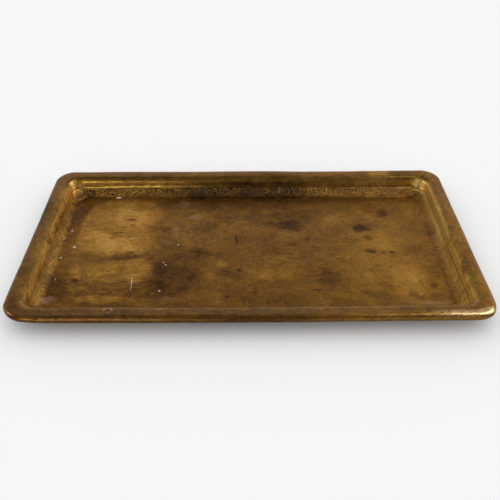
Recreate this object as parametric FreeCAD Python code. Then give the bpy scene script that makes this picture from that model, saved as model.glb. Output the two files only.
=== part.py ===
import FreeCAD, Part
import math
import os

# Rectangular brass paten plate: a shallow raised sheet-metal tray with a wired
# edge. Millimetres, +Z up. The origin is on the resting plane, at the centre of
# the flat underside. +X runs along the long side, and -Y is the front.
#
# Pieces:
#   pan               one sheet of brass: flat floor, broad cove, short steep wall,
#                     round shoulder, broad flange, and the edge curled outward
#                     and under round the wire
#   rim_wire          one length of round wire, bent to the plate's outline and
#                     held inside the curl, its two ends butting in the back side
#   rim_solder_seam   soft solder that closes the curl's lip against the underside
#                     of the flange and locks the wire in

# ---- driving dimensions (mm) ------------------------------------------------
LENGTH = 305.0            # overall, along X (12 in)
WIDTH = 165.0             # overall, along Y (6 1/2 in)
HEIGHT = 14.9             # resting plane to the top of the rim bead
SHEET = 1.22              # brass sheet, 18 gauge
WIRE_D = 3.25             # rim wire, 10 gauge
WIRE_GAP = 0.04           # radial clearance between the wire and the curl

# corner radii in plan
RIM_CORNER_R = 14.0       # outside corner of the rim
SHOULDER_CORNER_R = 10.0  # at the shoulder: wider than concentric
FOOT_CORNER_R = 8.5       # where the cove meets the floor

# section through the sheet; radii are on its centre line
FOOT_IN = 21.5            # outer edge to the foot of the cove
COVE_R = 9.6              # concave radius at the foot
SHOULDER_R = 3.5          # convex radius at the shoulder
WALL_DEG = 74.0           # slope of the short straight wall
FLANGE_DEG = 5.0          # the flange rises outward to the bead by this much
LIP_DEG = 296.0           # how far round from the top the curl's lip reaches

WIRE_JOINT_X = 112.0      # place of the wire's butt joint along the back side
WIRE_JOINT_GAP = 0.3      # opening left between the two ends of the wire
SOLDER_LEG = 1.6          # how far the solder runs inward along the flange
SOLDER_DEG = 36.0         # how far the solder runs down the bead from the lip
SOLDER_HOLLOW = 0.18      # outward and upward shift of the free surface's middle

# steps each curved run of the section is divided into
COVE_STEPS = 8
SHOULDER_STEPS = 7
CURL_STEPS = 20
SOLDER_STEPS = 4

LOFT_MAX_DEGREE = 5
SEW_TOLERANCE = 0.002

# ---- derived dimensions -----------------------------------------------------
CURL_R = WIRE_D / 2 + WIRE_GAP + SHEET / 2  # curl radius on the centre line
BEAD_R = CURL_R + SHEET / 2                 # outside radius of the bead
WIRE_IN = BEAD_R                            # outer edge to the wire's axis
WIRE_Z = HEIGHT - BEAD_R                    # height of the wire's axis

UPPER, LOWER = 1, -1                        # the two skins of the sheet


def vec(x, y, z):
    return FreeCAD.Vector(x, y, z)


def mix(start, end, share):
    return start + (end - start) * share


def rim_corner(inset):
    """Plan corner radius concentric with the rim, inset from the outer edge."""
    return RIM_CORNER_R - inset


# ---- the sheet's centre line, from the foot outward -------------------------
# A section point is (d, z, heading): d outward from the foot, heading in radians
# above the horizontal. A station adds the plan corner radius of its outline.
def arc_run(start, radius, end_heading, steps):
    """Points round an arc that leaves start along its heading."""
    d, z, heading = start
    turn = end_heading - heading
    bend = radius if turn > 0 else -radius  # signed: positive curves upward
    centre_d = d - bend * math.sin(heading)
    centre_z = z + bend * math.cos(heading)
    points = []
    for i in range(steps + 1):
        angle = heading + turn * i / steps
        points.append((centre_d + bend * math.sin(angle),
                       centre_z - bend * math.cos(angle), angle))
    return points


def line_run(start, length):
    d, z, heading = start
    return [start, (d + length * math.cos(heading), z + length * math.sin(heading), heading)]


def straight_lengths(wall_angle, flange_angle):
    """The wall and flange lengths that close the section between its arcs."""
    sin_w, cos_w = math.sin(wall_angle), math.cos(wall_angle)
    sin_f, cos_f = math.sin(flange_angle), math.cos(flange_angle)
    run = (FOOT_IN - WIRE_IN - COVE_R * sin_w
           - SHOULDER_R * (sin_w - sin_f) - CURL_R * sin_f)
    rise = (WIRE_Z - SHEET / 2 - COVE_R * (1 - cos_w)
            - SHOULDER_R * (cos_f - cos_w) + CURL_R * cos_f)
    determinant = cos_w * sin_f - cos_f * sin_w
    wall = (run * sin_f - rise * cos_f) / determinant
    flange = (rise * cos_w - run * sin_w) / determinant
    assert wall > 1 and flange > 1, "no room for the straight runs"
    return wall, flange


def centre_line():
    """Stations of each run of the section, by name."""
    wall_angle, flange_angle = math.radians(WALL_DEG), math.radians(FLANGE_DEG)
    wall_length, flange_length = straight_lengths(wall_angle, flange_angle)
    cove = arc_run((0.0, SHEET / 2, 0.0), COVE_R, wall_angle, COVE_STEPS)
    wall = line_run(cove[-1], wall_length)
    shoulder = arc_run(wall[-1], SHOULDER_R, flange_angle, SHOULDER_STEPS)
    flange = line_run(shoulder[-1], flange_length)
    curl = arc_run(flange[-1], CURL_R, -math.radians(LIP_DEG), CURL_STEPS)

    inner_d, outer_d = flange[0][0], flange[1][0]

    def cove_to_shoulder(d):
        return mix(FOOT_CORNER_R, SHOULDER_CORNER_R, d / inner_d)

    def across_flange(d):
        share = (d - inner_d) / (outer_d - inner_d)
        return mix(SHOULDER_CORNER_R, rim_corner(FOOT_IN - outer_d), share)

    def round_curl(d):
        return rim_corner(FOOT_IN - d)

    plan = (("cove", cove, cove_to_shoulder),
            ("wall", wall, cove_to_shoulder),
            ("shoulder", shoulder, cove_to_shoulder),
            ("flange", flange, across_flange),
            ("curl", curl, round_curl))
    return {name: [point + (corner(point[0]),) for point in points]
            for name, points, corner in plan}


RUNS = centre_line()


# ---- plan outlines ----------------------------------------------------------
def corner_points(inset, z, radius):
    """Start, middle and end of each corner arc of a rounded rectangle, inset
    from the outer edge: counterclockwise, from the back corner at +X."""
    x, y = LENGTH / 2 - inset - radius, WIDTH / 2 - inset - radius
    corners = []
    for centre_x, centre_y, first_deg in ((x, y, 0), (-x, y, 90), (-x, -y, 180), (x, -y, 270)):
        angles = [math.radians(first_deg + i * 45) for i in range(3)]
        corners.append([vec(centre_x + radius * math.cos(angle),
                            centre_y + radius * math.sin(angle), z) for angle in angles])
    return corners


def arc_edge(points):
    return Part.Arc(*points).toShape()


def line_edge(start, end):
    return Part.LineSegment(start, end).toShape()


def outline(d, z, radius):
    """Closed rounded rectangle at d outward from the foot."""
    corners = corner_points(FOOT_IN - d, z, radius)
    edges = []
    for i in range(4):
        edges.append(arc_edge(corners[i]))
        edges.append(line_edge(corners[i][2], corners[(i + 1) % 4][0]))
    return Part.Wire(edges)


def skin_point(station, side):
    """(d, z, corner radius) on one skin of the sheet. Both skins share the
    corner centre, so the sheet keeps its thickness."""
    d, z, heading, radius = station
    offset = side * SHEET / 2
    shift = -offset * math.sin(heading)
    return d + shift, z + offset * math.cos(heading), radius + shift


def skin(station, side):
    return outline(*skin_point(station, side))


def loft(wires, ruled):
    return Part.makeLoft(wires, False, ruled, False, LOFT_MAX_DEGREE).Faces


def close(faces):
    """Sew faces into one solid, turned right side out."""
    shell = Part.makeShell(faces)
    shell.sewShape(SEW_TOLERANCE)
    # sewing may wrap the shell in a compound
    if shell.ShapeType != "Shell":
        shell = shell.Shells[0]
    solid = Part.makeSolid(shell)
    if solid.Volume < 0:
        solid.reverse()
    return solid


# ---- pan --------------------------------------------------------------------
def make_pan():
    faces = []
    for side in (UPPER, LOWER):
        for name, stations in RUNS.items():
            faces += loft([skin(station, side) for station in stations],
                          name in ("wall", "flange"))
        # the flat floor
        faces.append(Part.Face(skin(RUNS["cove"][0], side)))
    # end face of the lip
    lip = RUNS["curl"][-1]
    faces += loft([skin(lip, UPPER), skin(lip, LOWER)], True)
    return close(faces)


# ---- wire -------------------------------------------------------------------
def make_wire():
    """Round wire swept from one side of the joint, round the plate, to the other."""
    back_y = WIDTH / 2 - WIRE_IN
    start = vec(WIRE_JOINT_X - WIRE_JOINT_GAP / 2, back_y, WIRE_Z)
    end = vec(WIRE_JOINT_X + WIRE_JOINT_GAP / 2, back_y, WIRE_Z)
    corners = corner_points(WIRE_IN, WIRE_Z, rim_corner(WIRE_IN))
    edges = []
    here = start
    # the path leaves the joint toward -X, so the back corner at +X comes last
    for points in corners[1:] + corners[:1]:
        edges += [line_edge(here, points[0]), arc_edge(points)]
        here = points[2]
    edges.append(line_edge(here, end))
    circle = Part.Wire([Part.Circle(start, vec(1, 0, 0), WIRE_D / 2).toShape()])
    return Part.Wire(edges).makePipeShell([circle], True, True)


# ---- solder -----------------------------------------------------------------
def on_bead(degrees, radius=BEAD_R):
    """(d, z) round the wire's axis, turning from the top outward."""
    angle = math.radians(degrees)
    return FOOT_IN - WIRE_IN + radius * math.sin(angle), WIRE_Z + radius * math.cos(angle)


def rim_ring(point):
    """Outline through (d, z), concentric with the rim."""
    d, z = point
    return outline(d, z, rim_corner(FOOT_IN - d))


def flange_station(under_d):
    """The flange's station whose underside is at under_d."""
    inner, outer = RUNS["flange"]
    share = (under_d - skin_point(inner, LOWER)[0]) / (outer[0] - inner[0])
    assert share > 0.02, "the solder runs past the flange"
    return tuple(mix(inner[i], outer[i], share) for i in range(4))


def make_solder():
    """A fillet of solder between the curl's lip and the flange's underside."""
    lip_d = on_bead(LIP_DEG)[0]
    outer = flange_station(lip_d)
    inner = flange_station(lip_d - SOLDER_LEG)

    # the side against the bead: narrow flats that touch the bead's surface
    step = SOLDER_DEG / SOLDER_STEPS
    flats_r = BEAD_R / math.cos(math.radians(step / 2))
    against = [on_bead(LIP_DEG - SOLDER_DEG * (1 - i / SOLDER_STEPS), flats_r)
               for i in range(SOLDER_STEPS + 1)]

    # the free surface: flats along a shallow hollow, from the flange to the bead
    low_d, low_z = against[0]
    top_d, top_z, top_corner = skin_point(inner, LOWER)
    low_corner = rim_corner(FOOT_IN - low_d)
    hollow = arc_edge([vec(top_d, 0, top_z),
                       vec((top_d + low_d) / 2 + SOLDER_HOLLOW, 0,
                           (top_z + low_z) / 2 + SOLDER_HOLLOW),
                       vec(low_d, 0, low_z)])
    points = hollow.discretize(SOLDER_STEPS + 1)
    free = [skin(inner, LOWER)]
    for i in range(1, SOLDER_STEPS):
        corner = mix(top_corner, low_corner, i / SOLDER_STEPS)
        free.append(outline(points[i].x, points[i].z, corner))
    free.append(rim_ring(against[0]))

    faces = loft([rim_ring(point) for point in against], True)
    faces += loft([rim_ring(against[-1]), skin(outer, LOWER)], True)
    faces += loft([skin(outer, LOWER), skin(inner, LOWER)], True)
    faces += loft(free, True)
    return close(faces)


os.makedirs("parts", exist_ok=True)
for name, make in (("pan", make_pan), ("rim_wire", make_wire), ("rim_solder_seam", make_solder)):
    make().exportStep("parts/%s.step" % name)
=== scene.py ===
"""A shallow rectangular brass plate with rounded corners. A flat floor runs through a
hammered cove into a steep wall, a narrow flange and a rim curled round a wire, with
a solder seam underneath.

The plate is centred on the origin and lies flat: its length along X, its front
towards -Y, its underside at z = 0.
"""

import math
from collections import namedtuple
from functools import reduce
from types import SimpleNamespace

import bmesh
import bpy
import numpy as np
from mathutils import Matrix, Vector


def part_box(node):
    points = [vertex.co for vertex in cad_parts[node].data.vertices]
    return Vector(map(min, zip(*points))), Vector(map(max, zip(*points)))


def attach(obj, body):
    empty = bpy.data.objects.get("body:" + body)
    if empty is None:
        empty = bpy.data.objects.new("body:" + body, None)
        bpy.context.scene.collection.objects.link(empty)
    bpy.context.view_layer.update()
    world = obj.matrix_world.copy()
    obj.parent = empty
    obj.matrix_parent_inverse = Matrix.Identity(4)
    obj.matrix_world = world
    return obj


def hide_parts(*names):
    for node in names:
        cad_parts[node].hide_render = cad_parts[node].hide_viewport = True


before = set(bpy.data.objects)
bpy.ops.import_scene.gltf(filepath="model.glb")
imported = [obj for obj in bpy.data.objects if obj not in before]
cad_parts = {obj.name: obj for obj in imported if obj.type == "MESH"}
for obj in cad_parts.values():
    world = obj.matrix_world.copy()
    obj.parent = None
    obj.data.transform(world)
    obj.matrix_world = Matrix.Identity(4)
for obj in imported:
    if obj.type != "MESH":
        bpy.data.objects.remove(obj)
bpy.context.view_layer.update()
BOX_LO, BOX_HI = [Vector(p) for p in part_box("pan")]

# =============================================================================
# 1. The plate's section, in millimetres
# =============================================================================
LENGTH = (BOX_HI.x - BOX_LO.x) * 1000
WIDTH = (BOX_HI.y - BOX_LO.y) * 1000
HEIGHT = (BOX_HI.z - BOX_LO.z) * 1000
SHEET = 1.22                      # thickness of the sheet
WIRE_D, WIRE_GAP = 3.25, 0.04     # rim wire, and its clearance inside the curl
RIM_CORNER_R, SHOULDER_CORNER_R, FOOT_CORNER_R = 14.0, 10.0, 8.5  # corners seen from above
FOOT_IN = 21.5                    # from the plate's outer edge to where the cove starts
COVE_R, SHOULDER_R = 9.6, 3.5     # bends of the centre line
WALL = math.radians(74.0)
FLANGE = math.radians(5.0)
LIP_DEG = 296.0                   # where the curl ends, clockwise from the bead's top
CURL_R = WIRE_D / 2 + WIRE_GAP + SHEET / 2
BEAD_R = CURL_R + SHEET / 2
BEAD_IN, BEAD_Z = BEAD_R, HEIGHT - BEAD_R
WIRE_JOINT_X, WIRE_JOINT_GAP = 112.0, 0.3
SOLDER_LEG, SOLDER_DEG = 1.6, 36.0  # mean reach along the flange and round the bead

# Steps in each run of the section: (upper skin, lower skin). The curl's inner
# skin is fine enough for its flats to stay clear of the wire.
UPPER, LOWER = 0, 1
STEPS = {"cove": (14, 6), "wall": (4, 2), "shoulder": (7, 4), "flange": (4, 3), "curl": (16, 18)}

# out: distance outwards from the foot; corner: plan corner radius; along:
# distance along the sheet from the foot
Station = namedtuple("Station", "out z heading corner along")


def arc(start, radius, turn, steps):
    """Points (out, z, heading) of an arc that turns by an angle from start."""
    out, z, heading = start
    bend = math.copysign(radius, turn)
    centre_out = out - bend * math.sin(heading)
    centre_z = z + bend * math.cos(heading)
    headings = [heading + turn * i / steps for i in range(steps + 1)]
    return [(centre_out + bend * math.sin(h), centre_z - bend * math.cos(h), h)
            for h in headings]


def line(start, length, steps):
    """Points (out, z, heading) of a straight run from start."""
    out, z, heading = start
    return [(out + length * i / steps * math.cos(heading),
             z + length * i / steps * math.sin(heading), heading) for i in range(steps + 1)]


def centre_line(skin):
    """Stations of the sheet's centre line, and the points of its flange."""
    sin_wall, cos_wall = math.sin(WALL), math.cos(WALL)
    sin_flange, cos_flange = math.sin(FLANGE), math.cos(FLANGE)
    # what the two straight runs have to cover between the bends
    run = (FOOT_IN - BEAD_IN - COVE_R * sin_wall - SHOULDER_R * (sin_wall - sin_flange)
           - CURL_R * sin_flange)
    rise = (BEAD_Z - SHEET / 2 - COVE_R * (1 - cos_wall)
            - SHOULDER_R * (cos_flange - cos_wall) + CURL_R * cos_flange)
    det = cos_wall * sin_flange - cos_flange * sin_wall
    wall_length = (run * sin_flange - rise * cos_flange) / det
    flange_length = (rise * cos_wall - run * sin_wall) / det

    steps = {name: counts[skin] for name, counts in STEPS.items()}
    cove = arc((0.0, SHEET / 2, 0.0), COVE_R, WALL, steps["cove"])
    wall = line(cove[-1], wall_length, steps["wall"])
    shoulder = arc(wall[-1], SHOULDER_R, FLANGE - WALL, steps["shoulder"])
    flange = line(shoulder[-1], flange_length, steps["flange"])
    curl = arc(flange[-1], CURL_R, -(math.radians(LIP_DEG) + FLANGE), steps["curl"])

    flange_in, flange_out = flange[0][0], flange[-1][0]
    flange_end_r = RIM_CORNER_R - (FOOT_IN - flange_out)

    def corner(points, out):
        if points is curl:
            return RIM_CORNER_R - (FOOT_IN - out)
        if points is flange:
            share = (out - flange_in) / (flange_out - flange_in)
            return SHOULDER_CORNER_R + (flange_end_r - SHOULDER_CORNER_R) * share
        return FOOT_CORNER_R + (SHOULDER_CORNER_R - FOOT_CORNER_R) * out / flange_in

    stations, along = [], 0.0
    for points in (cove, wall, shoulder, flange, curl):
        for out, z, heading in points[1:] if stations else points:
            if stations:
                along += math.hypot(out - stations[-1].out, z - stations[-1].z)
            stations.append(Station(out, z, heading, corner(points, out), along))
    return stations, flange


# =============================================================================
# 2. Plan outlines: a ring of points round the plate, and a grid for the floor
# =============================================================================
class Ring:
    """Ring of points on a rounded rectangle. Index 0 is the middle of the front
    left corner, and the ring runs anticlockwise seen from above."""

    def __init__(self, n_long, n_short, n_corner):
        half = n_corner // 2
        rows = []

        def half_corner(corner, first_deg):
            for i in range(half):
                angle = math.radians(first_deg % 360 + 45 * i / half)
                rows.append((*corner, math.cos(angle), math.sin(angle)))

        corners = [(-1, -1), (1, -1), (1, 1), (-1, 1)]
        for i, start in enumerate(corners):
            end = corners[(i + 1) % 4]
            outward = ((end[1] - start[1]) // 2, (start[0] - end[0]) // 2)
            count = n_short if i % 2 else n_long
            half_corner(start, 225 + 90 * i)
            for j in range(count):
                rows.append((start[0] + (end[0] - start[0]) * j / count,
                             start[1] + (end[1] - start[1]) * j / count, *outward))
            half_corner(end, 270 + 90 * i)
        # place as a share of the straight sides' half lengths, and outward normal
        self.share_x, self.share_y, self.out_x, self.out_y = np.array(rows).T
        self.count = len(rows)

        # indices of the four edges of a grid that the ring encloses, each read
        # from left to right or from front to back
        nx, ny = n_long + n_corner, n_short + n_corner
        self.nx, self.ny = nx, ny
        self.front = np.arange(0, nx + 1)
        self.right = np.arange(nx, nx + ny + 1)
        self.back = np.arange(2 * nx + ny, nx + ny - 1, -1)
        self.left = np.arange(2 * nx + 2 * ny, 2 * nx + ny - 1, -1) % self.count

    def points(self, inset, z, radius):
        x = self.share_x * (LENGTH / 2 - inset - radius) + radius * self.out_x
        y = self.share_y * (WIDTH / 2 - inset - radius) + radius * self.out_y
        return np.column_stack([x, y, np.full(self.count, z)])

    def skin(self, station, side):
        """(points, normals) of the upper (side 1) or lower (side -1) skin."""
        normal_out, normal_z = -math.sin(station.heading), math.cos(station.heading)
        offset = side * SHEET / 2
        points = self.points(FOOT_IN - station.out - offset * normal_out,
                             station.z + offset * normal_z,
                             station.corner + offset * normal_out)
        normals = np.column_stack([self.out_x * normal_out, self.out_y * normal_out,
                                   np.full(self.count, normal_z)]) * side
        return points, normals

    def grid(self, edge):
        """Coons patch inside a ring of points: (nx + 1) x (ny + 1) points."""
        front, right, back, left = (edge[i] for i in (self.front, self.right,
                                                      self.back, self.left))
        s = np.linspace(0, 1, self.nx + 1)[:, None, None]
        t = np.linspace(0, 1, self.ny + 1)[None, :, None]
        grid = (1 - t) * front[:, None] + t * back[:, None]
        grid += (1 - s) * left[None] + s * right[None]
        grid -= ((1 - s) * (1 - t) * front[0] + s * (1 - t) * front[-1]
                 + s * t * back[-1] + (1 - s) * t * back[0])
        return grid


# =============================================================================
# 3. Seeded smooth noise, for the hand work in the metal
# =============================================================================
def lattice_hash(i, j, k, seed):
    """A fixed scattered value in -1..1 for each whole-numbered lattice point."""
    n = (i.astype(np.int64) * 374761393 + j.astype(np.int64) * 668265263
         + k.astype(np.int64) * 2147483647 + seed * 144665) & 0x7FFFFFFF
    n = (n ^ (n >> 13)) * 1274126177 & 0x7FFFFFFF
    n = (n ^ (n >> 16)) * 2246822519 & 0x7FFFFFFF
    return ((n ^ (n >> 15)) & 0xFFFFF) / float(0xFFFFF) * 2 - 1


def noise3(points, cell, seed):
    """Value noise in -1..1 at points, with a cell size per axis in mm."""
    scaled = points / np.asarray(cell, float)
    low = np.floor(scaled)
    part = scaled - low
    part = part * part * part * (part * (part * 6 - 15) + 10)
    i, j, k = low.astype(np.int64).T
    total = 0
    for a in (0, 1):
        for b in (0, 1):
            for c in (0, 1):
                weight = ((part[:, 0] if a else 1 - part[:, 0])
                          * (part[:, 1] if b else 1 - part[:, 1])
                          * (part[:, 2] if c else 1 - part[:, 2]))
                total = total + weight * lattice_hash(i + a, j + b, k + c, seed)
    return total


def noise_sum(points, *layers):
    """Sum of noises, each given as (amount in mm, cell size, seed)."""
    return sum(amount * noise3(points, cell, seed) for amount, cell, seed in layers)


def smooth(x, start, end):
    """Smooth step from 0 at start to 1 at end."""
    t = np.clip((x - start) / (end - start), 0, 1)
    return t * t * (3 - 2 * t)


def flattened(points):
    return points * (1.0, 1.0, 0.0)


def warp(points):
    """The plate's slow departures from true, shared by all its pieces: a bowed
    side here, a lifted stretch of rim there. They start above the floor."""
    warped = points.copy()
    x, y, z = points.T
    up = smooth(z, 2.0, 9.0)
    flat = flattened(points)
    warped[:, 0] += up * noise_sum(flat, (0.38, (85, 60, 1), 11), (0.10, (26, 24, 1), 12))
    warped[:, 1] += up * noise_sum(flat, (0.34, (70, 75, 1), 13), (0.10, (24, 30, 1), 14))
    warped[:, 2] += up * noise_sum(flat, (0.24, (62, 60, 1), 15), (0.09, (21, 21, 1), 16))
    # the front left corner is knocked back a little
    front = smooth(-y, 58.0, 76.0)
    warped[:, 1] += up * front * (0.5 * smooth(-x, 55.0, 110.0) + 2.1 * smooth(-x, 126.0, 152.0))
    # the front right corner is turned a little tighter than the others
    reach = np.exp(-(((x - 148.4) / 5.5) ** 2 + ((y + 78.4) / 5.5) ** 2))
    tighter = 0.45
    warped[:, 0] += up * tighter * (reach - front * smooth(x, 138.0, 152.0))
    warped[:, 1] += up * tighter * (front * smooth(x, 70.0, 122.0) - reach)
    return warped


def floor_work(points):
    """How far the sheet stands off its true place, in mm: slow undulations."""
    return noise_sum(flattened(points), (0.085, (44, 38, 1), 21), (0.040, (19, 17, 1), 22),
                     (0.010, (7.5, 6.5, 1), 23))


def wall_work(points, along, ring):
    """The same for a ring of the sheet outside the floor, with its tool marks."""
    x, y, _ = points.T
    run = np.where(np.abs(ring.out_y) > np.abs(ring.out_x), x, y)
    # a different layer of noise for each side of the plate
    face = np.round(np.degrees(np.arctan2(ring.out_y, ring.out_x)) / 90) * 7.0
    up_sheet = np.full(ring.count, along)
    side = np.column_stack([run, up_sheet, face])
    lean = np.column_stack([run + 0.55 * along, up_sheet, face])
    lift = floor_work(points)
    # cross-peen marks: short leaning dents all along the cove
    cove = smooth(along, 2.0, 4.6) * (1 - smooth(along, 11.2, 13.4))
    cove = cove * (0.45 + 0.55 * smooth(np.abs(y), 52.0, 62.0))
    lift += cove * (noise_sum(lean, (0.105, (2.5, 5.2, 3), 31), (0.07, (4.4, 3.4, 3), 32))
                    + noise_sum(side, (0.06, (11, 7, 3), 33)))
    # the wall, shoulder and flange: long shallow planishing facets
    lift += smooth(along, 12.0, 15.5) * noise_sum(
        side, (0.045, (9.5, 3.6, 3), 41), (0.022, (4.1, 2.4, 3), 42), (0.07, (26, 6, 3), 43))
    # a shallow groove where the flange runs into the bead
    groove = 0.10 * smooth(along, 23.2, 25.2) * (1 - smooth(along, 26.0, 27.6))
    lift -= groove * (0.75 + 0.25 * noise3(side, (12, 9, 3), 44))
    # small knocks on the bead
    knocks = smooth(noise3(side, (2.6, 2.4, 3), 51), 0.62, 0.95)
    lift -= 0.13 * smooth(along, 26.5, 28.5) * knocks
    return lift


# =============================================================================
# 4. Marks on the floor of the plate, in millimetres
# =============================================================================
# Columns: x, y, half width, half depth, turn in degrees, softness 0-1, how
# ragged 0-1, strength. Golden marks are where the brass is kept bright.
GOLDEN = [
    (-84, 40, 19, 18, 0, 0.3, 0.55, 0.16), (-93, 58.5, 26, 5.5, 0, 0.5, 0.4, 0.2),
    (-86, 4, 20, 8, 0, 0.5, 0.6, 0.22), (-112, 6, 16, 15, 15, 0.6, 0.6, 0.2),
    (-93, -25, 27, 13, 4, 0.35, 0.8, 0.2), (-101, -24, 12, 6, 18, 0.4, 1, 0.12),
    (-76, -24, 10, 12, 0, 0.3, 0.6, 0.12), (-97, -51.5, 18, 3.4, 0, 0.5, 1, 0.26),
    (-120, -26, 4, 9, 20, 0.5, 0.8, 0.2), (108, -37, 13, 19, 4, 0.9, 0.9, 0.22),
    (88, -16, 32, 26, 0, 0.9, 0.5, 0.12), (104, 12, 22, 14, 0, 0.8, 0.5, 0.12),
    (16, -28, 15, 8, 0, 0.5, 0.9, 0.12), (-19.3, -17.6, 4, 4, 0, 0.8, 1, 0.2),
    (70, 36, 22, 8, 0, 0.8, 0.6, 0.1), (20, 44, 12, 3, 0, 0.6, 0.9, 0.1),
]
TARNISH = [
    # the first row, along the back foot, is painted shade
    (-6, 54, 58, 8, 0, 0.9, 0.35, 0.1), (-50, -30, 19, 21, -12, 0.45, 0.7, 0.16),
    (-66, -42, 12, 9, 0, 0.5, 0.7, 0.09), (-46, -6, 16, 8, -8, 0.5, 0.7, 0.1),
    (-39.4, -29.9, 3, 5.2, 0, 0.6, 0.9, 0.14), (-41.9, -42.5, 3.4, 2.2, 0, 0.6, 0.9, 0.12),
    (-32.1, -9.9, 6, 10.5, 0, 0.5, 0.8, 0.14), (-88, -8, 9, 5.6, 0, 0.4, 0.7, 0.22),
    (24, 36, 26, 12, 0, 0.6, 0.5, 0.12), (31, 26, 10, 7.5, -12, 0.7, 0.8, 0.17),
    (42.7, 9.3, 2.2, 3.2, 0, 0.6, 0.7, 0.2), (54, -31, 15, 9, -8, 0.8, 0.8, 0.13),
    (101.8, 40.5, 5, 5.6, 0, 0.4, 0.7, 0.16), (-130.6, 60, 9, 5.5, 0, 0.6, 0.4, 0.04),
    (-128, -45, 9, 11, 0, 0.4, 0.6, 0.16), (-129, 38, 6, 16, -14, 0.6, 0.5, 0.07),
    (83.6, 21.6, 6.6, 4.4, -6, 0.62, 0.85, 0.34), (86.6, 10.7, 3.8, 2.5, 0, 0.6, 0.8, 0.25),
    (87, -3.9, 4.2, 2.4, -16, 0.5, 0.7, 0.36), (-62, 22, 4.4, 4, 0, 0.6, 0.9, 0.12),
    (110, -50, 6, 3, -30, 0.5, 1, 0.2), (124, -40, 3, 2.2, 0, 0.5, 0.8, 0.26),
]
# pale, slightly pink bloom: dried polish and water marks
BLOOM = [
    (-50.5, 54.3, 4.2, 3.8, 0, 0.6, 1, 0.42), (-39.9, 37, 5.6, 2.8, 0, 0.6, 0.9, 0.48),
    (-54, 16.6, 2.8, 7.4, 6, 0.7, 0.9, 0.26), (-60, 6, 5, 2.4, -30, 0.7, 1, 0.14),
    (-130, -52.5, 5.6, 3.8, 10, 0.6, 0.7, 0.6), (121.5, -56.4, 10, 1.8, 2, 0.8, 0.6, 0.34),
    (104, -54.5, 10, 2, 0, 0.9, 0.6, 0.2), (-52, -52, 7, 2.6, 0, 0.8, 1, 0.18),
]
# The rest are drawn in the material. Columns as above, but without raggedness:
# dark marks too small for the mesh to carry
SPECKS = [
    (31.7, 3.6, 4.2, 0.8, 4, 0.5, 0.22), (46, -44.3, 3.4, 1.4, 0, 0.5, 0.18),
    (95.6, -6.2, 2.3, 1, 0, 0.4, 0.32), (101.6, -5.8, 2.2, 1.3, 0, 0.4, 0.36),
    (-88.6, 34.1, 3.6, 1.4, -6, 0.5, 0.26), (-87.3, 27.4, 2.8, 1.1, 0, 0.5, 0.22),
    (-97.2, 18, 7, 0.9, 6, 0.5, 0.22), (-130, 50, 2.4, 1.6, 0, 0.5, 0.24),
    (-118, -34, 2.4, 1.8, 0, 0.5, 0.22), (-7, -24.1, 1.6, 1.7, 0, 0.4, 0.3),
    (-14.8, -50.2, 1.5, 1.2, 0, 0.4, 0.34), (-9, 9.1, 0.9, 5.8, 6, 0.5, 0.3),
]
# where white specks gather on the front and the left rim
SPECKLED_RIMS = [(-88, -74, 5.5, 4, 0, 0.5, 1), (-144.5, -5, 3.2, 7, 0, 0.5, 1)]
# chips of white left by polish: x, y, half width, half depth, turn
WHITE_CHIPS = [
    (-131, 20.7, 0.85, 0.85, 0), (-125.5, 1.9, 0.95, 0.9, 0), (-132.4, -10.3, 0.75, 0.6, 0),
    (-131, -32.3, 0.5, 0.5, 0), (-59.6, -15.6, 0.8, 0.4, -35), (-58, -18.3, 0.9, 0.4, -35),
    (-51, 3.6, 0.6, 0.6, 0), (-103.1, 63.2, 2.5, 0.85, 4), (-59.6, -44.4, 0.8, 0.7, 0),
    (-79, -37, 0.22, 8, 3), (-134.5, 10.8, 0.5, 0.5, 0), (116, -8, 0.3, 0.3, 0),
]


def stain_fields(points):
    """Strength of the golden, dark and pale marks at points, in mm. The points
    are pushed about by noise first, so that the marks have ragged outlines."""
    flat = flattened(points)

    def push(seed, cell_x, cell_y, amount):
        cell = (cell_x, cell_y, 1)
        return amount * np.column_stack([noise3(flat, cell, seed), noise3(flat, cell, seed + 1)])

    coarse = push(71, 19, 15, amount=2.6) + push(73, 8.5, 6.0, amount=1.7)
    fine = push(75, 3.6, 2.6, amount=1.1) + push(77, 1.9, 1.4, amount=0.7)
    plan = points[:, :2]

    def total(marks):
        out = np.zeros(len(points))
        for x, y, half_width, half_depth, turn, soft, ragged, strength in marks:
            size = min(half_width, half_depth)
            pushed = min(1.0, size / 3.0) * fine + min(1.0, size / 9.0) * coarse
            dx, dy = (plan + ragged * pushed - np.array([x, y])).T
            cos, sin = math.cos(math.radians(turn)), math.sin(math.radians(turn))
            distance = np.hypot((dx * cos + dy * sin) / half_width,
                                (-dx * sin + dy * cos) / half_depth)
            out += strength * (1 - smooth(distance, 1 - 0.75 * soft, 1 + 0.5 * soft))
        return out

    # the largest golden patch: a rounded shape, cut off straight at its right
    x, y = (plan + 0.45 * fine + 0.15 * coarse).T
    shape = np.abs((x + 94.0) / 32.0) ** 2.6 + np.abs((y - 26.0) / 36.0) ** 2.6
    patch = 1 - smooth(shape, 0.84, 1.10)
    patch *= 1 - smooth(y, 44.0, 45.5) * smooth(x, -87.4, -86.2) * 0.55
    patch *= 1 - smooth(x, -77.0, -69.0)
    patch *= 1 - 0.55 * smooth(-x - 0.7 * y, 96.0, 120.0)
    # worn thin in places, except towards the back
    thin = smooth(noise_sum(flat, (1.0, (15, 7, 1), 81), (0.6, (5, 3, 1), 82)), 0.1, 0.7)
    patch *= 1 - 0.5 * thin * (1 - smooth(y, 44.0, 52.0))
    return 0.27 * patch + total(GOLDEN), total(TARNISH), total(BLOOM)


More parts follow.
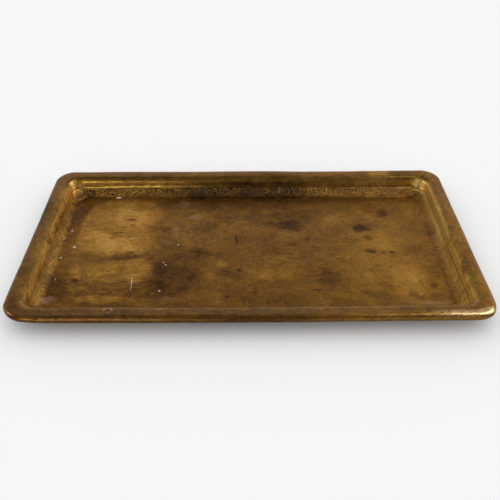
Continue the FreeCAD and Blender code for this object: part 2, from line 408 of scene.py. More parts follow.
# =============================================================================
# 5. Meshes
# =============================================================================
class MeshBuild:
    """Gathers points in mm, their attributes and their faces into a mesh."""

    def __init__(self):
        self.points, self.faces, self.attributes, self.count = [], [], [], 0

    def add(self, points, along=0.0, under=0.0):
        """Add points and return their indices. along: distance up the sheet
        from the foot; under: 1 on the lower skin."""
        first = self.count
        self.points.append(points)
        self.attributes.append(np.tile((along, under), (len(points), 1)))
        self.count += len(points)
        return first + np.arange(len(points))

    def band(self, a, b):
        """Quads between two closed rings of the same count."""
        self.faces += np.column_stack([a, np.roll(a, -1), np.roll(b, -1), b]).tolist()

    def bands(self, rings):
        for a, b in zip(rings, rings[1:]):
            self.band(a, b)

    def halve(self, a, b):
        """Strip between ring a and ring b, which has half as many points."""
        a, b = a.tolist(), b.tolist()
        for i in range(len(b)):
            a0, a1, a2 = a[2 * i], a[2 * i + 1], a[(2 * i + 2) % len(a)]
            b0, b1 = b[i], b[(i + 1) % len(b)]
            self.faces += [[a0, a1, b0], [a1, a2, b1], [a1, b1, b0]]

    def floor(self, ring, station, side, edge, share):
        """Grid inside the foot ring, whose indices are edge, with a share of
        the hand work."""
        grid = ring.grid(ring.skin(station, side)[0])
        inner = grid[1:-1, 1:-1].reshape(-1, 3)
        inner[:, 2] += share * floor_work(inner)
        index = np.empty((ring.nx + 1, ring.ny + 1), int)
        index[:, 0], index[-1, :] = edge[ring.front], edge[ring.right]
        index[:, -1], index[0, :] = edge[ring.back], edge[ring.left]
        under = 1.0 if side < 0 else 0.0
        index[1:-1, 1:-1] = self.add(inner, under=under).reshape(ring.nx - 1, ring.ny - 1)
        corners = [index[:-1, :-1], index[1:, :-1], index[1:, 1:], index[:-1, 1:]]
        if side < 0:
            corners = [corners[i] for i in (0, 3, 2, 1)]
        self.faces += np.stack(corners, -1).reshape(-1, 4).tolist()

    def finish(self, name, stained=False):
        points = np.concatenate(self.points)
        mesh = bpy.data.meshes.new(name)
        mesh.from_pydata((points / 1000.0).tolist(), [], self.faces)
        fields = dict(zip(("along", "under"), np.concatenate(self.attributes).T))
        if stained:
            fields.update(zip(("golden", "tarnish", "bloom"), stain_fields(points)))
        for field, values in fields.items():
            attribute = mesh.attributes.new(field, "FLOAT", "POINT")
            attribute.data.foreach_set("value", values.astype(np.float32))
        mesh.validate()
        piece = bpy.data.objects.new(name, mesh)
        bpy.context.scene.collection.objects.link(piece)
        mesh.polygons.foreach_set("use_smooth", [True] * len(mesh.polygons))
        mesh.update()
        bm = bmesh.new()
        bm.from_mesh(mesh)
        bmesh.ops.recalc_face_normals(bm, faces=bm.faces)
        bm.to_mesh(mesh)
        bm.free()
        return piece


def make_pan():
    build = MeshBuild()
    # upper skin, from the foot to the lip
    ring = Ring(n_long=232, n_short=124, n_corner=24)
    stations, _ = centre_line(UPPER)
    upper = []
    for station in stations:
        points, normals = ring.skin(station, 1)
        # the hand work fades out where the curl tucks in against the flange
        lift = wall_work(points, station.along, ring) * (1 - smooth(station.along, 31.0, 33.5))
        upper.append(build.add(warp(points + normals * lift[:, None]), station.along))
    for a, b in zip(upper, upper[1:]):
        build.band(b, a)
    build.floor(ring, stations[0], 1, upper[0], share=1.0)
    # round the lip's end face on to the lower skin, at half the count
    ring = Ring(n_long=116, n_short=62, n_corner=12)
    stations, _ = centre_line(LOWER)
    lower = []
    for station in stations[::-1]:
        points, normals = ring.skin(station, -1)
        if station.along < 21.0:
            lift = -0.9 * wall_work(points, station.along, ring)
            points = points + normals * lift[:, None]
        lower.append(build.add(warp(points), station.along, under=1.0))
    build.halve(upper[-1], lower[0])
    build.bands(lower)
    build.floor(ring, stations[0], -1, lower[-1], share=0.9)
    return build.finish("plate_pan", stained=True)


def make_wire():
    """The rim wire: a drawn round wire with dressed ends at its butt joint."""
    sides = 24
    radius = WIRE_D / 2 - 0.02
    dressing, dressed_length = 0.18, 0.15
    build = MeshBuild()
    ring = Ring(n_long=150, n_short=80, n_corner=12)
    centres = ring.points(BEAD_IN, BEAD_Z, RIM_CORNER_R - BEAD_IN)
    outward = np.column_stack([ring.out_x, ring.out_y, np.zeros(ring.count)])
    # the path starts left of the joint in the back side and ends right of it
    back = ring.out_y > 0.999
    half_gap = WIRE_JOINT_GAP / 2
    start = np.where(back & (centres[:, 0] < WIRE_JOINT_X - half_gap - 0.2))[0][0]
    at_joint = back & (np.abs(centres[:, 0] - WIRE_JOINT_X) < 0.35)
    order = (start + np.arange(ring.count)) % ring.count
    keep = [i for i in order if not at_joint[i]]
    y = WIDTH / 2 - BEAD_IN
    path = np.vstack([[WIRE_JOINT_X - half_gap, y, BEAD_Z], centres[keep],
                      [WIRE_JOINT_X + half_gap, y, BEAD_Z]])
    normals = np.vstack([[0, 1, 0], outward[keep], [0, 1, 0]])
    last = len(path) - 1
    angles = np.linspace(0, 2 * math.pi, sides, endpoint=False)[:, None]

    def circle(i, radius, shift=0.0):
        """Circle round point i of the path, shifted along it."""
        tangent = path[min(i + 1, last)] - path[max(i - 1, 0)]
        centre = path[i] + tangent / np.linalg.norm(tangent) * shift
        spokes = np.cos(angles) * normals[i] + np.sin(angles) * np.array([0, 0, 1.0])
        return build.add(warp(centre + radius * spokes))

    loops = [circle(0, radius - dressing), circle(0, radius, dressed_length)]
    loops += [circle(i, radius) for i in range(1, last)]
    loops += [circle(last, radius, -dressed_length), circle(last, radius - dressing)]
    build.bands(loops)
    for end, order in ((0, 1), (-1, -1)):
        centre = int(build.add(warp(path[end][None]))[0])
        loop = loops[end].tolist()
        for i in range(sides):
            build.faces.append([loop[i], centre, loop[(i + 1) % sides]][::order])
    return build.finish("plate_rim_wire")


def make_solder():
    """The solder fillet under the rim, with the uneven edge solder runs to."""
    sink = 0.05     # how far it reaches into the metal it lies against
    belly = 0.2     # how far its open face bulges
    build = MeshBuild()
    ring = Ring(n_long=300, n_short=160, n_corner=16)
    _, flange = centre_line(UPPER)
    (start_out, start_z, _), (end_out, end_z, _) = flange[0], flange[-1]

    def on_bead(degrees, radius=BEAD_R):
        angle = np.radians(degrees)
        return FOOT_IN - BEAD_IN + radius * np.sin(angle), BEAD_Z + radius * np.cos(angle)

    def under_flange(out):
        share = (out - start_out) / (end_out - start_out)
        return start_z + (end_z - start_z) * share - SHEET / 2 / math.cos(FLANGE)

    def loop(out, z):
        inset = FOOT_IN - out
        points = ring.points(inset, z, np.maximum(RIM_CORNER_R - inset, 0.5))
        return build.add(warp(points), under=1.0)

    flat = ring.points(BEAD_IN, 0.0, RIM_CORNER_R - BEAD_IN)
    leg = SOLDER_LEG + noise_sum(flat, (0.16, (3.6, 3.6, 1), 61), (0.14, (11, 11, 1), 62))
    down = SOLDER_DEG + 14 * noise3(flat, (4.4, 4.4, 1), 63)
    lip_out = on_bead(LIP_DEG)[0]
    # against the bead up to the lip, then in along the flange
    loops = [loop(*on_bead(LIP_DEG - down * (1 - t), BEAD_R - sink))
             for t in (0.0, 0.33, 0.66, 1.0)]
    loops.append(loop(lip_out, under_flange(lip_out) + sink))
    leg_out = lip_out - leg
    leg_z = under_flange(leg_out)
    loops.append(loop(leg_out, leg_z + sink))
    # the open face, back to the bead
    toe_out, toe_z = on_bead(LIP_DEG - down)
    for t in (0.2, 0.4, 0.6, 0.8):
        bulge = belly * 4 * t * (1 - t)
        loops.append(loop(leg_out + (toe_out - leg_out) * t + bulge,
                          leg_z + (toe_z - leg_z) * t + bulge))
    build.bands(loops + loops[:1])
    return build.finish("plate_rim_solder")


pan = make_pan()
wire = make_wire()
solder = make_solder()
for piece, cad_node, slot in ((pan, "pan", "patinated_brass"),
                              (wire, "rim_wire", "wire_brass"),
                              (solder, "rim_solder_seam", "solder")):
    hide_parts(cad_node)
    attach(piece, "root")


# =============================================================================
# 6. Shader nodes written as sums
# =============================================================================
def put(socket, value):
    """Link a Value to a socket, or set the socket to a constant."""
    if isinstance(value, Value):
        value.tree.links.new(value.socket, socket)
    else:
        socket.default_value = value


def add_node(tree, kind, inputs, **settings):
    made = tree.nodes.new("ShaderNode" + kind)
    for name, setting in settings.items():
        setattr(made, name, setting)
    for key, value in inputs.items():
        put(made.inputs[key], value)
    return made


def node(tree, kind, inputs={}, output=0, **settings):
    """Add a node and return one of its outputs as a Value."""
    return Value(tree, add_node(tree, kind, inputs, **settings).outputs[output])


def tree_of(*values):
    return next(value.tree for value in values if isinstance(value, Value))


def calc(operation, *operands, clamp=False):
    return node(tree_of(*operands), "Math", dict(enumerate(operands)),
                operation=operation, use_clamp=clamp)


def larger(a, b):
    return calc("MAXIMUM", a, b)


def mix(factor, a, b, blend="MIX"):
    """Blend from colour a to colour b; either may be an (r, g, b) tuple."""
    a, b = ((*c, 1.0) if isinstance(c, tuple) else c for c in (a, b))
    return node(tree_of(factor, a, b), "Mix", {"Factor": factor, 6: a, 7: b}, output=2,
                data_type="RGBA", blend_type=blend)


class Value:
    """An output of a shader node, used like a number, vector or colour."""

    def __init__(self, tree, socket):
        self.tree, self.socket = tree, socket

    def __add__(self, other):
        return calc("ADD", self, other)

    def __radd__(self, other):
        return calc("ADD", other, self)

    def __sub__(self, other):
        return calc("SUBTRACT", self, other)

    def __rsub__(self, other):
        return calc("SUBTRACT", other, self)

    def __mul__(self, other):
        return calc("MULTIPLY", self, other)

    def centred(self, width):
        """A 0..1 value turned into one of the given width about 0."""
        return (self - 0.5) * width

    def ramp(self, start, end, to):
        """Smooth step between the two values of to, from start to end."""
        return node(self.tree, "MapRange",
                    {"Value": self, "From Min": start, "From Max": end,
                     "To Min": to[0], "To Max": to[1]}, interpolation_type="SMOOTHSTEP")

    def rise(self, start, end):
        return self.ramp(start, end, to=(0.0, 1.0))

    def fall(self, start, end):
        return self.ramp(start, end, to=(1.0, 0.0))

    def split(self, kind):
        made = add_node(self.tree, "Separate" + kind, {0: self})
        return [Value(self.tree, socket) for socket in made.outputs]

    def vector(self, operation, other=(0.0, 0.0, 0.0), output=0):
        return node(self.tree, "VectorMath", {0: self, 1: other}, output, operation=operation)

    def scaled(self, factor):
        return node(self.tree, "VectorMath", {0: self, "Scale": factor}, operation="SCALE")

    def stretch(self, x, y, z):
        return node(self.tree, "Mapping", {"Vector": self, "Scale": (x, y, z)})

    def noise(self, scale=1.0, detail=3.0, rough=0.5, distort=0.0, output="Fac"):
        return node(self.tree, "TexNoise",
                    {"Vector": self, "Scale": scale, "Detail": detail,
                     "Roughness": rough, "Distortion": distort}, output)

    def voronoi(self, scale=1.0, output="Distance", feature="F1"):
        return node(self.tree, "TexVoronoi", {"Vector": self, "Scale": scale}, output,
                    feature=feature)

    def cell_picks(self, scale=1.0):
        """Three random values for each Voronoi cell."""
        return self.voronoi(scale, output="Color").split("Color")


def position_mm(tree):
    return node(tree, "TexCoord", output="Object").scaled(1000.0)


def attribute(tree, name):
    return node(tree, "Attribute", output="Fac", attribute_name=name)


def start_tree(owner, output):
    """Empty an owner's node tree; return it and its new output's Surface socket."""
    owner.use_nodes = True
    tree = owner.node_tree
    tree.nodes.clear()
    return tree, tree.nodes.new(output).inputs["Surface"]


def start_material(name):
    material = bpy.data.materials.new(name)
    return (material, *start_tree(material, "ShaderNodeOutputMaterial"))


def srgb(*levels):
    """sRGB 0-255 to linear."""
    return tuple((c / 255 / 12.92) if c / 255 <= 0.04045 else ((c / 255 + 0.055) / 1.055) ** 2.4
                 for c in levels)


# =============================================================================
# 7. The patinated brass. x, y and along are in millimetres, and noise scales
# are per millimetre. The shade runs from 0, darkest tarnish, to 1, palest
# brass, and the steps below add to it and take from it place by place.
# =============================================================================
PALETTE = [  # shade, sRGB colour
    (0.0, (50, 30, 9)), (0.20, (93, 60, 19)), (0.42, (133, 91, 32)),
    (0.62, (163, 116, 44)), (0.82, (192, 140, 58)), (1.0, (216, 166, 82)),
]


def brass_places(tree, position):
    """Coordinates and zones of the plate."""
    x, y, _ = position.split("XYZ")
    along = attribute(tree, "along")
    upper = 1.0 - attribute(tree, "under")
    front_side = y.rise(-73.0, -76.0) * x.rise(20.0, 60.0)
    return SimpleNamespace(
        x=x, y=y, along=along, upper=upper, front_side=front_side,
        floor=along.fall(2.5, 8.0) * upper,
        sides=calc("ABSOLUTE", x).rise(128.0, 134.0),
        peened=along.rise(2.5, 5.0) * along.fall(9.8, 12.0) * upper,
        wall=along.rise(3.5, 8.0) * along.fall(20.0, 23.0) * upper,
        steep=along.rise(11.5, 13.5) * along.fall(16.5, 18.5) * upper,
        front_bead=front_side * along.rise(22.5, 25.0) * along.fall(27.0, 28.5))


def brass_noises(position):
    """Noises that several parts share, and coordinates pushed about by noise."""
    red, green, fine = position.stretch(0.7, 1.0, 1.0).noise(
        scale=0.34, detail=5, rough=0.68, output="Color").split("Color")
    push = node(position.tree, "CombineXYZ", {0: red.centred(9.0), 1: green.centred(9.0)})
    return SimpleNamespace(
        fine=fine,
        slightly_pushed=position.vector("ADD", push.scaled(0.10)),
        pushed=position.vector("ADD", push.scaled(0.30)),
        blotted=position.stretch(0.70, 1.0, 1.0).vector("ADD", push.scaled(0.9)),
        clouds=position.stretch(0.020, 0.028, 0.03).noise(detail=5, rough=0.62, distort=0.6),
        mid=position.stretch(0.085, 0.15, 0.14).noise(detail=5, rough=0.64, distort=0.8),
        streak=position.stretch(0.16, 0.95, 0.9).noise(detail=5, rough=0.68, distort=0.5),
        fine_streak=position.stretch(0.30, 2.2, 2.0).noise(detail=3, rough=0.6, distort=0.3),
        grain=position.noise(scale=1.5, detail=4, rough=0.75),
        mottle=position.noise(scale=0.42, detail=4, rough=0.7, distort=0.4),
        fine_mottle=position.stretch(0.8, 1.0, 1.0).noise(scale=0.9, detail=3, rough=0.7),
        wear=position.stretch(0.11, 0.11, 0.3).noise(detail=5, rough=0.68, distort=0.6))


def mark_distance(vector, x, y, half_width, half_depth, turn):
    """Distance from a mark's centre: 1 at its outline, and the same at any z."""
    local = node(vector.tree, "Mapping",
                 {"Vector": vector, "Location": (x, y, 0),
                  "Rotation": (0, 0, math.radians(turn)),
                  "Scale": (half_width, half_depth, 1e4)}, vector_type="TEXTURE")
    return local.vector("LENGTH", output="Value")


def blob(noise, x, y, half_width, half_depth, turn, soft, strength):
    tiny = min(half_width, half_depth) < 1.6
    distance = mark_distance(noise.slightly_pushed if tiny else noise.pushed,
                             x, y, half_width, half_depth, turn)
    return distance.ramp(1.0 - soft * 0.75, 1.0 + soft * 0.5, to=(strength, 0.0))


def brass_marks(tree, position, place, noise):
    """Golden, dark and pale marks on the plate."""
    rag = 0.62 + position.stretch(0.5, 0.8, 0.8).noise(detail=5, rough=0.7) * 0.76
    first, *others = [blob(noise, *speck) for speck in SPECKS]
    specks = sum(others, first) * place.floor
    return SimpleNamespace(
        bright=attribute(tree, "golden") * rag * place.floor,
        specks=specks,
        dark=attribute(tree, "tarnish") * rag * place.floor + specks,
        bloom=attribute(tree, "bloom") * rag * place.upper)


def base_shade(position, place, noise, mark):
    """General patina: clouds, crisp-edged blotches, faint streaks and grain."""
    x, y = place.x, place.y
    blots = noise.blotted.cell_picks(scale=0.085)[0]
    small_blots = noise.blotted.cell_picks(scale=0.24)[1]
    mean_shade = 0.42
    shade = (mean_shade + noise.clouds.centred(0.26) + noise.mid.centred(0.30)
             + blots.centred(0.12) + small_blots.centred(0.11)
             + noise.streak.centred(0.28) + noise.fine_streak.centred(0.28)
             + noise.grain.centred(0.62) + noise.mottle.centred(0.46)
             + noise.fine_mottle.centred(0.42))
    # short wandering scratches, pale in some places and dark in others
    crack = noise.blotted.voronoi(scale=0.13, feature="DISTANCE_TO_EDGE")
    scratch = crack.fall(0.006, 0.026) * noise.mottle.rise(0.47, 0.55) * place.upper
    shade += scratch * noise.clouds.ramp(0.42, 0.56, to=(-0.13, 0.15))
    # wandering pale strokes on the left of the floor, left by old polishing
    swirl = position.stretch(0.075, 0.23, 0.2).noise(detail=3, rough=0.55, distort=1.8)
    swirl = swirl.ramp(0.54, 0.585, to=(0.0, 0.17)) + swirl.ramp(0.41, 0.46, to=(-0.06, 0.0))
    polished = (x.rise(-134.0, -120.0) * x.fall(-78.0, -58.0) * y.rise(-60.0, -52.0)
                * y.ramp(-30.0, -14.0, to=(1.0, 0.35)) * y.fall(30.0, 46.0))
    shade += swirl * polished * place.floor
    # brighter towards the right
    return shade + x.rise(0.0, 120.0) * 0.07 + mark.bright - mark.dark


def shade_sides(shade, place, noise):
    """Wear, tarnish, painted highlights and painted shade from the cove up to the flange."""
    x, y, along, upper = place.x, place.y, place.along, place.upper
    # left and right sides, paler with wear and painted highlight: the whole wall, its steep part
    # and the cove
    shade += place.wall * place.sides * noise.wear.ramp(0.34, 0.60, to=(-0.05, 0.12))
    shade += place.steep * place.sides * noise.wear.ramp(0.36, 0.54, to=(0.12, 0.44))
    shade += along.rise(5.5, 8.5) * along.fall(10.5, 12.0) * place.sides * 0.10
    # painted shade in the cove at the back: darker left of the middle, a little paler from there
    # on
    shade -= place.peened * y.rise(58.0, 61.0) * (x.ramp(-104.0, -58.0, to=(0.0, 0.16))
                                                  + x.ramp(-34.0, -8.0, to=(0.0, -0.07)))
    # painted glints on the hammer marks in the back cove, most of them on the left
    shade += (place.peened * x.ramp(-20.0, -70.0, to=(0.22, 1.5))
              * y.ramp(52.0, 62.0, to=(0.25, 1.0)) * noise.fine_mottle.centred(1.2))
    # painted highlight: a paler wall at the back right
    shade += place.steep * y.rise(66.0, 69.0) * x.rise(50.0, 78.0) * 0.11
    # painted shade: darker along the middle of the back wall
    painted_shade_band = (y.rise(60.5, 62.5) * x.rise(-62.0, -38.0) * x.fall(34.0, 58.0)
             * along.fall(14.5, 18.0))
    shade -= painted_shade_band * noise.wear.ramp(0.30, 0.62, to=(0.33, 0.20))
    # painted highlight in a pale strip on the right wall, from the middle to the back
    painted_wall_highlight = (x.rise(132.0, 135.0) * y.rise(-8.0, 22.0) * along.rise(7.5, 10.5)
             * along.fall(17.0, 20.0) * upper)
    shade += painted_wall_highlight * noise.mottle.ramp(0.30, 0.50, to=(0.36, 0.60))
    # darker along the cove's foot, and painted shade in the back left corner
    foot = along.rise(0.1, 1.8) * along.fall(2.6, 6.0) * upper
    shade -= foot * noise.mottle.ramp(0.35, 0.6, to=(0.12, 0.03))
    shade -= (x.rise(-118.0, -124.0) * y.rise(46.0, 53.0) * along.rise(1.0, 3.0)
              * along.fall(8.5, 11.0) * 0.20)
    # painted light and shade on the right side: paler low down, darker on the shoulder, paler
    # again on the rim
    shade = (shade + x.rise(136.0, 141.0) * along.ramp(14.0, 17.0, to=(0.09, -0.06))
             + x.rise(136.0, 141.0) * along.rise(21.0, 23.0) * 0.12)
    # the whole rim a little darker, then painted shade on the front shoulder and flange, most of
    # it in the middle
    shade -= along.rise(20.0, 26.0) * 0.03
    shade -= along.rise(14.0, 17.0) * along.fall(23.0, 26.0) * y.rise(-60.0, -68.0) * 0.09
    return shade - (along.rise(15.0, 19.0) * y.rise(-60.0, -68.0) * x.rise(-60.0, 0.0)
                    * x.fall(30.0, 66.0) * 0.07)


def painted_highlight_lines(place, noise):
    """Two painted highlight lines along the back wall towards the left."""
    x, y, along = place.x, place.y, place.along
    left_back = y.rise(62.0, 66.0) * x.rise(-20.0, -90.0) * x.rise(-138.0, -128.0)
    lower_line = along.rise(10.3, 11.5) * along.fall(12.8, 13.9) * 1.8
    upper_line = along.rise(13.8, 14.8) * along.fall(16.6, 17.6) * 1.0
    return (left_back * larger(lower_line, upper_line)
            * noise.streak.ramp(0.30, 0.60, to=(0.5, 1.0)) * place.upper)


def shade_rims(shade, place, noise, painted_lines):
    """Painted highlight and painted reflection on the front bead, the painted highlight lines
    and the back rim.
    """
    x, y, along = place.x, place.y, place.along
    # painted highlight at the front bead's right end, broken up, and painted reflection of the
    # pale floor on its lower side
    shade = (shade + place.front_bead * x.ramp(100.0, 136.0, to=(0.02, 0.26))
             + place.front_bead * x.rise(80.0, 110.0) * noise.fine_mottle.centred(0.9)
             + place.front_side * along.rise(27.5, 29.0) * 0.17)
    # painted highlight along the two lines on the back wall
    shade += painted_lines * 0.30
    # the worn golden stretch of the back rim, with its clean-cut right end
    golden = (y.rise(71.0, 73.5) * x.rise(94.0, 99.0) * x.fall(112.0, 113.0)
              * along.rise(19.5, 21.5) * noise.mottle.ramp(0.30, 0.55, to=(0.55, 1.0)))
    return shade + golden * 0.24


def brass_pits(position, place, noise):
    """Pits, larger spots, and fine crazing in patches of the floor's tarnish."""
    pit_size, spot_size = (0.50, 0.68, 0.68), (0.13, 0.20, 0.20)
    pit = (position.stretch(*pit_size).voronoi().fall(0.14, 0.36)
           * position.stretch(*pit_size).cell_picks()[0].rise(0.80, 0.84))
    spot = position.stretch(*spot_size).voronoi() + noise.grain.centred(0.35)
    spot = (spot.fall(0.05, 0.20)
            * position.stretch(*spot_size).cell_picks()[1].rise(0.66, 0.72))
    craze = position.stretch(0.055, 0.10, 0.10).noise(detail=5, rough=0.62)
    craze = calc("ABSOLUTE", craze - 0.5).fall(0.003, 0.014)
    patches = position.noise(scale=0.030, detail=2, rough=0.5).rise(0.53, 0.60)
    return larger(pit, larger(spot * 0.8, craze * patches * place.floor * 0.7))


def white_marks(position, place, noise):
    """White chips on the floor, and specks of the same white on the rims."""
    chips = reduce(larger, [mark_distance(noise.slightly_pushed, *chip).fall(0.7, 1.1)
                            for chip in WHITE_CHIPS])
    near = reduce(larger, [blob(noise, *area) for area in SPECKLED_RIMS])
    specks = (position.voronoi(scale=0.62).fall(0.20, 0.36) * near
              * position.cell_picks(scale=0.62)[0].rise(0.45, 0.5))
    return larger(chips, specks * 0.75) * place.upper


def brass_colour(shade, position, place, noise, mark, pits, white):
    palette = add_node(position.tree, "ValToRGB", {0: shade})
    stops = palette.color_ramp.elements
    stops[0].position, stops[-1].position = PALETTE[0][0], PALETTE[-1][0]
    for level, _ in PALETTE[1:-1]:
        stops.new(level)
    for stop, (_, levels) in zip(stops, PALETTE):
        stop.color = (*srgb(*levels), 1)
    colour = Value(position.tree, palette.outputs[0])
    # drifts of olive and of red-brown in the tarnish
    drift = position.noise(scale=0.035, detail=4, rough=0.6)
    small_drift = position.noise(scale=0.16, detail=4, rough=0.65)
    for start, end, to, tint in ((0.52, 0.78, (0.0, 0.45), srgb(118, 104, 34)),
                                 (0.26, 0.47, (0.45, 0.0), srgb(132, 74, 26))):
        amount = (drift + small_drift.centred(0.5)).ramp(start, end, to)
        colour = mix(amount, colour, mix(0.5, colour, tint))
    # red-brown in the dark marks, a cooler wall, and red-brown in the pits
    darkest = (mark.specks + mark.dark * 0.6).ramp(0.14, 0.34, to=(0.0, 0.5))
    colour = mix(darkest, colour, srgb(96, 54, 20))
    colour = mix(place.wall, colour, (1.0, 1.13, 1.35), "MULTIPLY")
    colour = mix(pits * 0.5, colour, srgb(80, 42, 16))
    # painted highlight: pale brass at the right end of the front bead
    painted_bead_highlight = (place.front_bead * place.x.rise(104.0, 132.0)
            * noise.fine_mottle.ramp(0.40, 0.56, to=(0.12, 0.62)))
    colour = mix(painted_bead_highlight, colour, srgb(240, 216, 174))
    # greenish black on the outer left edge
    left_edge = (place.x.fall(-151.5, -146.0) * place.y.rise(8.0, 16.0)
                 * place.y.fall(36.0, 46.0))
    colour = mix(left_edge * noise.wear.ramp(0.35, 0.6, to=(0.2, 0.9)), colour,
                 srgb(44, 42, 20))
    colour = mix(mark.bloom * noise.fine.ramp(0.35, 0.65, to=(0.35, 1.0)), colour,
                 srgb(178, 142, 108))
    return mix(white, colour, srgb(226, 206, 186))


def brass_relief(position, place, noise, pits):
    """Fine relief, in mm: brushing along the length, grain, the pits' own
    depth, and the smallest of the hammer marks in the cove."""
    x, y, along = place.x, place.y, place.along
    unrolled = node(position.tree, "CombineXYZ",
                    {0: x + along * 0.55, 1: y + along * 0.55, 2: along * 0.5})
    peen = unrolled.noise(scale=0.75, detail=2, rough=0.55)
    dimples = unrolled.voronoi(scale=0.62, feature="SMOOTH_F1")
    height = (noise.fine_streak * 0.014 + noise.grain * 0.022
              + position.noise(scale=0.7, detail=3, rough=0.6) * 0.030)
    height -= pits * 0.05
    height += place.peened * y.ramp(50.0, 60.0, to=(0.5, 1.0)) * (peen * 1.15 + dimples * 0.18)
    return node(position.tree, "Bump", {"Strength": 1.0, "Distance": 0.001, "Height": height})


def make_brass():
    material, tree, surface = start_material("patinated_brass")
    position = position_mm(tree)
    place = brass_places(tree, position)
    noise = brass_noises(position)
    mark = brass_marks(tree, position, place, noise)
    painted_lines = painted_highlight_lines(place, noise)
    pits = brass_pits(position, place, noise)
    white = white_marks(position, place, noise)
    along, dark = place.along, mark.dark

    shade = base_shade(position, place, noise, mark)
    shade = shade_sides(shade, place, noise)
    shade = shade_rims(shade, place, noise, painted_lines)
    shade = larger(shade - pits * 0.26, 0.0)

    # smoother where rubbed and along the painted highlight lines, rougher under marks and on the
    # steep side walls
    dull = larger(mark.bloom, white)
    bead = along.rise(26.0, 28.0) * place.upper
    mean_rough, least_rough = 0.40, 0.2
    rough = (mean_rough + noise.mid.centred(0.14) + larger(dull, dark) * 0.18
             + noise.grain.centred(0.14))
    rough -= mark.bright * 0.10 + painted_lines * 0.10 + place.wall * 0.07 + bead * 0.12
    rough = larger(rough, least_rough) + place.steep * place.sides * 0.16

    # a trace of old wax, thickest on the rim and missing from dull and dark marks
    wax = (noise.wear.ramp(0.25, 0.60, to=(0.14, 0.04)) + along.rise(20.0, 26.0) * 0.30
           + along.rise(1.0, 5.0) * along.ramp(18.0, 22.0, to=(0.12, 0.0)))
    relief = brass_relief(position, place, noise, pits)
    put(surface, node(tree, "BsdfPrincipled", {
        "Base Color": brass_colour(shade, position, place, noise, mark, pits, white),
        "Metallic": calc("SUBTRACT", 0.92 - dull * 0.5, pits * 0.3, clamp=True),
        "Roughness": rough,
        "Coat Weight": wax * calc("SUBTRACT", 1.0, larger(dull, dark * 2.5), clamp=True),
        "Coat Roughness": 0.22,
        "Normal": relief,
        "Coat Normal": relief,
    }))
    return material


# =============================================================================
# 8. The two plain metals
# =============================================================================
def make_plain_metal(name, scale, colours, metallic, roughness, stretch=None):
    """Metal whose colour and roughness drift together between two values."""
    material, tree, surface = start_material(name)
    position = position_mm(tree)
    if stretch:
        position = position.stretch(*stretch)
    drift = position.noise(scale=scale, detail=4, rough=0.6)
    put(surface, node(tree, "BsdfPrincipled", {
        "Base Color": mix(drift.rise(0.3, 0.7), *colours),
        "Metallic": metallic,
        "Roughness": drift.ramp(0.3, 0.7, to=roughness),
    }))
    return material


pan.data.materials.append(make_brass())
wire.data.materials.append(make_plain_metal(
    "drawn_wire_brass", scale=1.0, colours=((0.55, 0.36, 0.12), (0.72, 0.52, 0.2)),
    metallic=1.0, roughness=(0.28, 0.42), stretch=(0.25, 0.25, 2.0)))
solder.data.materials.append(make_plain_metal(
    "dull_solder", scale=0.5, colours=((0.12, 0.11, 0.095), (0.3, 0.28, 0.24)),
    metallic=0.9, roughness=(0.42, 0.6)))


# =============================================================================
# 9. Floor and room
# =============================================================================
FLOOR_SIZE, FLOOR_GAP = 8.0, 0.00035  # metres; the gap is below the plate

# Soft round lights of the room: direction, full inside and gone at (degrees off
# the direction), colour, strength. The camera looks from the front, -Y.
ROOM_LIGHTS = [
    ((0.0, 0.95, 0.30), 8, 30, (1.0, 0.96, 0.90), 0.55),        # pale glow behind the plate
    ((0.925, -0.06, 0.375), 8, 12.5, (1.0, 0.98, 0.95), 5.4),   # soft box to the right
    ((-0.925, -0.06, 0.375), 8, 12.5, (1.0, 0.98, 0.95), 5.2),  # soft box to the left
    ((0.60, 0.09, 0.795), 12, 14.5, (1.0, 0.99, 0.97), 9.5),    # strongest, high right
    ((0.33, -0.94, 0.03), 7, 16, (1.0, 0.95, 0.86), 0.75),      # low, front right
    ((-0.36, -0.92, 0.14), 7, 16, (1.0, 0.92, 0.78), 2.8),      # window, low front left
    ((0.26, -0.62, 0.74), 4, 11, (1.0, 0.96, 0.88), 0.7),       # small, high front right
    ((-0.30, -0.60, 0.74), 4, 11, (1.0, 0.96, 0.88), 1.4),      # small, high front left
    ((0.85, 0.48, 0.25), 12, 34, (1.0, 0.95, 0.86), 0.12),      # faint, back right
    ((-0.85, 0.48, 0.25), 12, 34, (1.0, 0.95, 0.86), 0.16),     # faint, back left
]


def glossy_switch(tree, seen, mirrored):
    """One shader for glossy rays and another for all the rest."""
    is_glossy = node(tree, "LightPath", output="Is Glossy Ray")
    return node(tree, "MixShader", {0: is_glossy, 1: seen, 2: mirrored})


def make_floor():
    """A pale floor that the metal mirrors as a darker one."""
    bpy.ops.mesh.primitive_plane_add(size=FLOOR_SIZE, location=(0, 0, BOX_LO.z - FLOOR_GAP))
    floor = bpy.context.object
    floor.name = "stage_floor"
    material, tree, surface = start_material("pale_floor")
    seen = node(tree, "BsdfDiffuse", {"Color": (0.95, 0.95, 0.95, 1)})
    mirrored = node(tree, "BsdfDiffuse", {"Color": (0.36, 0.34, 0.30, 1)})
    put(surface, glossy_switch(tree, seen, mirrored))
    floor.data.materials.append(material)


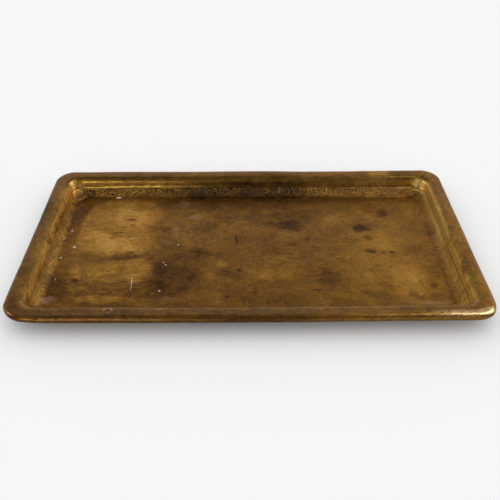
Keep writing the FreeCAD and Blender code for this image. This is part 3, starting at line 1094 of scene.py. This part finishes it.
def make_world():
    """A pale field, and the dim room with soft lights that the metal mirrors."""
    world = bpy.data.worlds.new("studio")
    bpy.context.scene.world = world
    tree, surface = start_tree(world, "ShaderNodeOutputWorld")
    direction = node(tree, "TexCoord", output="Generated").vector("NORMALIZE")
    _, towards_back, upwards = direction.split("XYZ")
    elevation = calc("ARCSINE", upwards) * 57.29578  # radians to degrees
    # paler low down, dim at the ceiling and dimmest in front of the plate
    room = mix(elevation.rise(32.0, 62.0), (0.44, 0.42, 0.39), (0.11, 0.11, 0.11))
    room = mix(towards_back.rise(0.15, -0.35), room, (0.055, 0.052, 0.05))
    room = room.scaled(1.0)
    for aim, full_inside, gone_at, colour, strength in ROOM_LIGHTS:
        facing = direction.vector("DOT_PRODUCT", tuple(Vector(aim).normalized()), "Value")
        level = facing.ramp(math.cos(math.radians(gone_at)),
                            math.cos(math.radians(full_inside)), to=(0.0, strength))
        light = node(tree, "VectorMath", {0: colour, "Scale": level}, operation="SCALE")
        room = room.vector("ADD", light)
    mirrored = node(tree, "Background", {"Color": room, "Strength": 1.0})
    seen = node(tree, "Background", {"Color": (1.0, 1.0, 1.0, 1), "Strength": 0.98})
    put(surface, glossy_switch(tree, seen, mirrored))


# =============================================================================
# 10. Camera
# =============================================================================
LENS, SENSOR_WIDTH, SHIFT_X = 43.36, 36.0, 0.0009
CAMERA_YAW, CAMERA_PITCH, CAMERA_ROLL = (math.radians(a) for a in (0.532, 39.623, 0.066))
# from the bead's height over the plate's centre, in plate lengths
CAMERA_PLACE = (-0.00875, -1.09544, 0.86489)


def make_camera():
    data = bpy.data.cameras.new("camera")
    data.sensor_width = SENSOR_WIDTH
    data.lens = LENS
    data.shift_x = SHIFT_X
    data.clip_start, data.clip_end = 0.01, 50
    camera = bpy.data.objects.new("camera", data)
    bpy.context.scene.collection.objects.link(camera)
    sin_yaw, cos_yaw = math.sin(CAMERA_YAW), math.cos(CAMERA_YAW)
    cos_pitch = math.cos(CAMERA_PITCH)
    forward = Vector((sin_yaw * cos_pitch, cos_yaw * cos_pitch, -math.sin(CAMERA_PITCH)))
    right = Vector((cos_yaw, -sin_yaw, 0))
    up = right.cross(forward)
    sin_roll, cos_roll = math.sin(CAMERA_ROLL), math.cos(CAMERA_ROLL)
    right, up = right * cos_roll + up * sin_roll, up * cos_roll - right * sin_roll
    place = Vector([share * (LENGTH / 1000) for share in CAMERA_PLACE])
    place.z += BEAD_Z / 1000
    columns = (right, up, -forward, place)
    camera.matrix_world = Matrix([[c[i] for c in columns] for i in range(3)] + [[0, 0, 0, 1]])
    bpy.context.scene.camera = camera


bpy.context.scene.view_settings.view_transform = "Standard"
bpy.context.scene.view_settings.look = "None"
make_floor()
make_world()
make_camera()
